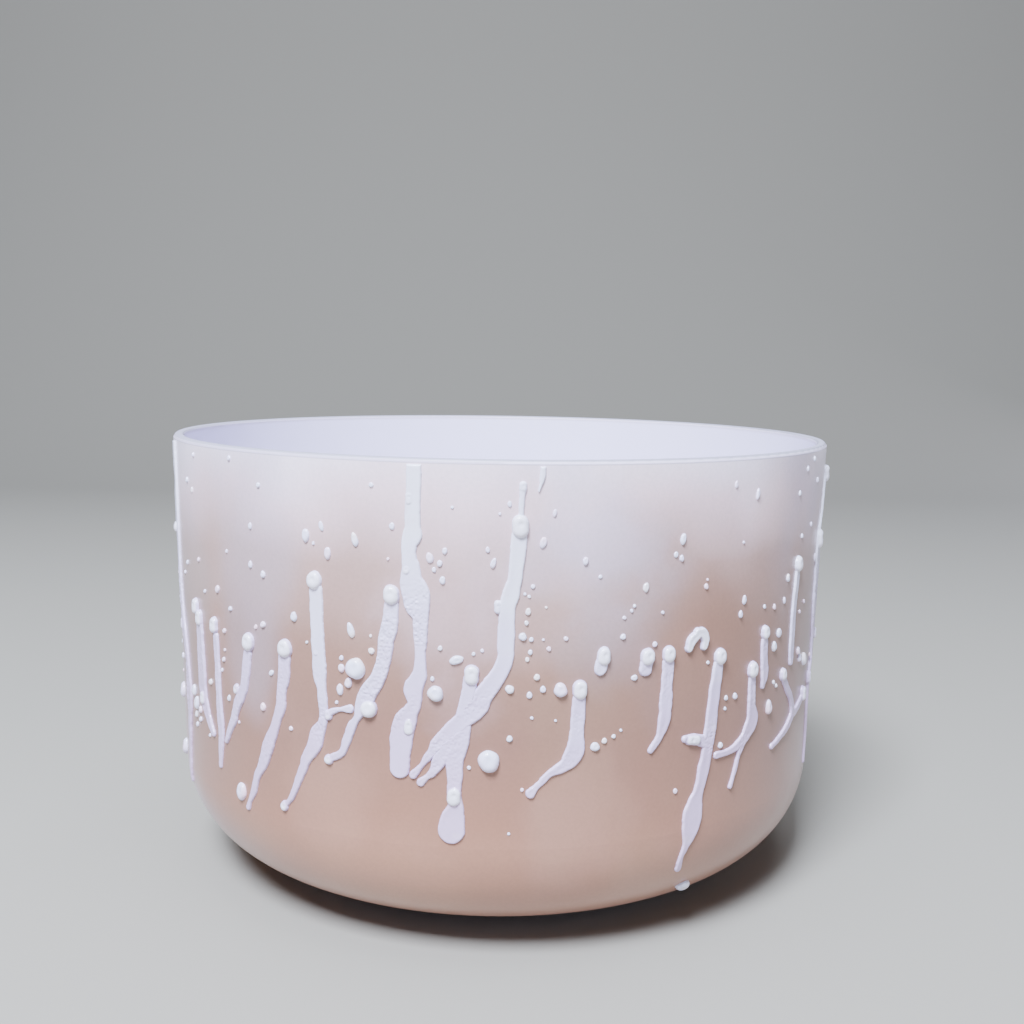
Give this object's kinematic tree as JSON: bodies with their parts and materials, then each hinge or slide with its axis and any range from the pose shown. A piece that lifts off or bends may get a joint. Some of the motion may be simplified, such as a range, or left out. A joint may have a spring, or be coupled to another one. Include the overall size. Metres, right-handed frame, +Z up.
{
  "type": "crystal singing bowl",
  "caption": "Straight-walled frosted quartz singing bowl with a pearl-coated outside and raised white drips, resting on a rubber O-ring.",
  "frame": {"origin": "on the table, at the foot of the bowl's vertical axis", "axes": "+Z up along the bowl's axis of revolution, -Y towards the front, where the two long crossing drips are"},
  "size_m": [0.255, 0.2557, 0.1662],
  "materials": {
    "frosted_quartz": "frosted, milky white with a lavender cast",
    "pearl_lacquer": "satin pearl, lavender white at the rim to peach beige at the foot",
    "relief_lacquer": "satin white with a blue lavender pearl",
    "black_rubber": "matt black"
  },
  "bodies": {
    "o_ring": {"rubber_o_ring": "black_rubber"},
    "bowl": {"back_drip_01": "relief_lacquer", "back_drip_02": "relief_lacquer", "back_drip_03": "relief_lacquer", "back_drip_04": "relief_lacquer", "back_drip_05": "relief_lacquer", "back_drip_06": "relief_lacquer", "back_drip_07": "relief_lacquer", "back_drip_08": "relief_lacquer", "back_drip_09": "relief_lacquer", "back_drip_10": "relief_lacquer", "back_drip_11": "relief_lacquer", "back_drip_12": "relief_lacquer", "back_drip_13": "relief_lacquer", "back_drip_14": "relief_lacquer", "back_drip_15": "relief_lacquer", "back_drip_16": "relief_lacquer", "back_drip_17": "relief_lacquer", "droplets_back": "relief_lacquer", "droplets_back_left": "relief_lacquer", "droplets_back_right": "relief_lacquer", "droplets_front": "relief_lacquer", "droplets_front_left": "relief_lacquer", "droplets_front_right": "relief_lacquer", "front_drip_01": "relief_lacquer", "front_drip_02": "relief_lacquer", "front_drip_03": "relief_lacquer", "front_drip_04": "relief_lacquer", "front_drip_05": "relief_lacquer", "front_drip_06": "relief_lacquer", "front_drip_07": "relief_lacquer", "front_drip_08": "relief_lacquer", "front_drip_09": "relief_lacquer", "front_drip_10": "relief_lacquer", "front_drip_11": "relief_lacquer", "front_drip_12": "relief_lacquer", "front_drip_13": "relief_lacquer", "front_drip_14": "relief_lacquer", "front_drip_15": "relief_lacquer", "front_drip_16": "relief_lacquer", "front_drip_17": "relief_lacquer", "front_drip_18": "relief_lacquer", "front_drip_19": "relief_lacquer", "front_drip_20": "relief_lacquer", "front_drip_21": "relief_lacquer", "front_drip_22": "relief_lacquer", "pearl_coat": "pearl_lacquer", "quartz_bowl": "frosted_quartz"}
  },
  "joints": [
    {"name": "bowl_lift", "type": "slide", "parent": "o_ring", "child": "bowl", "axis": [0, 0, 1], "range_m": [0, 0.1]}
  ]
}
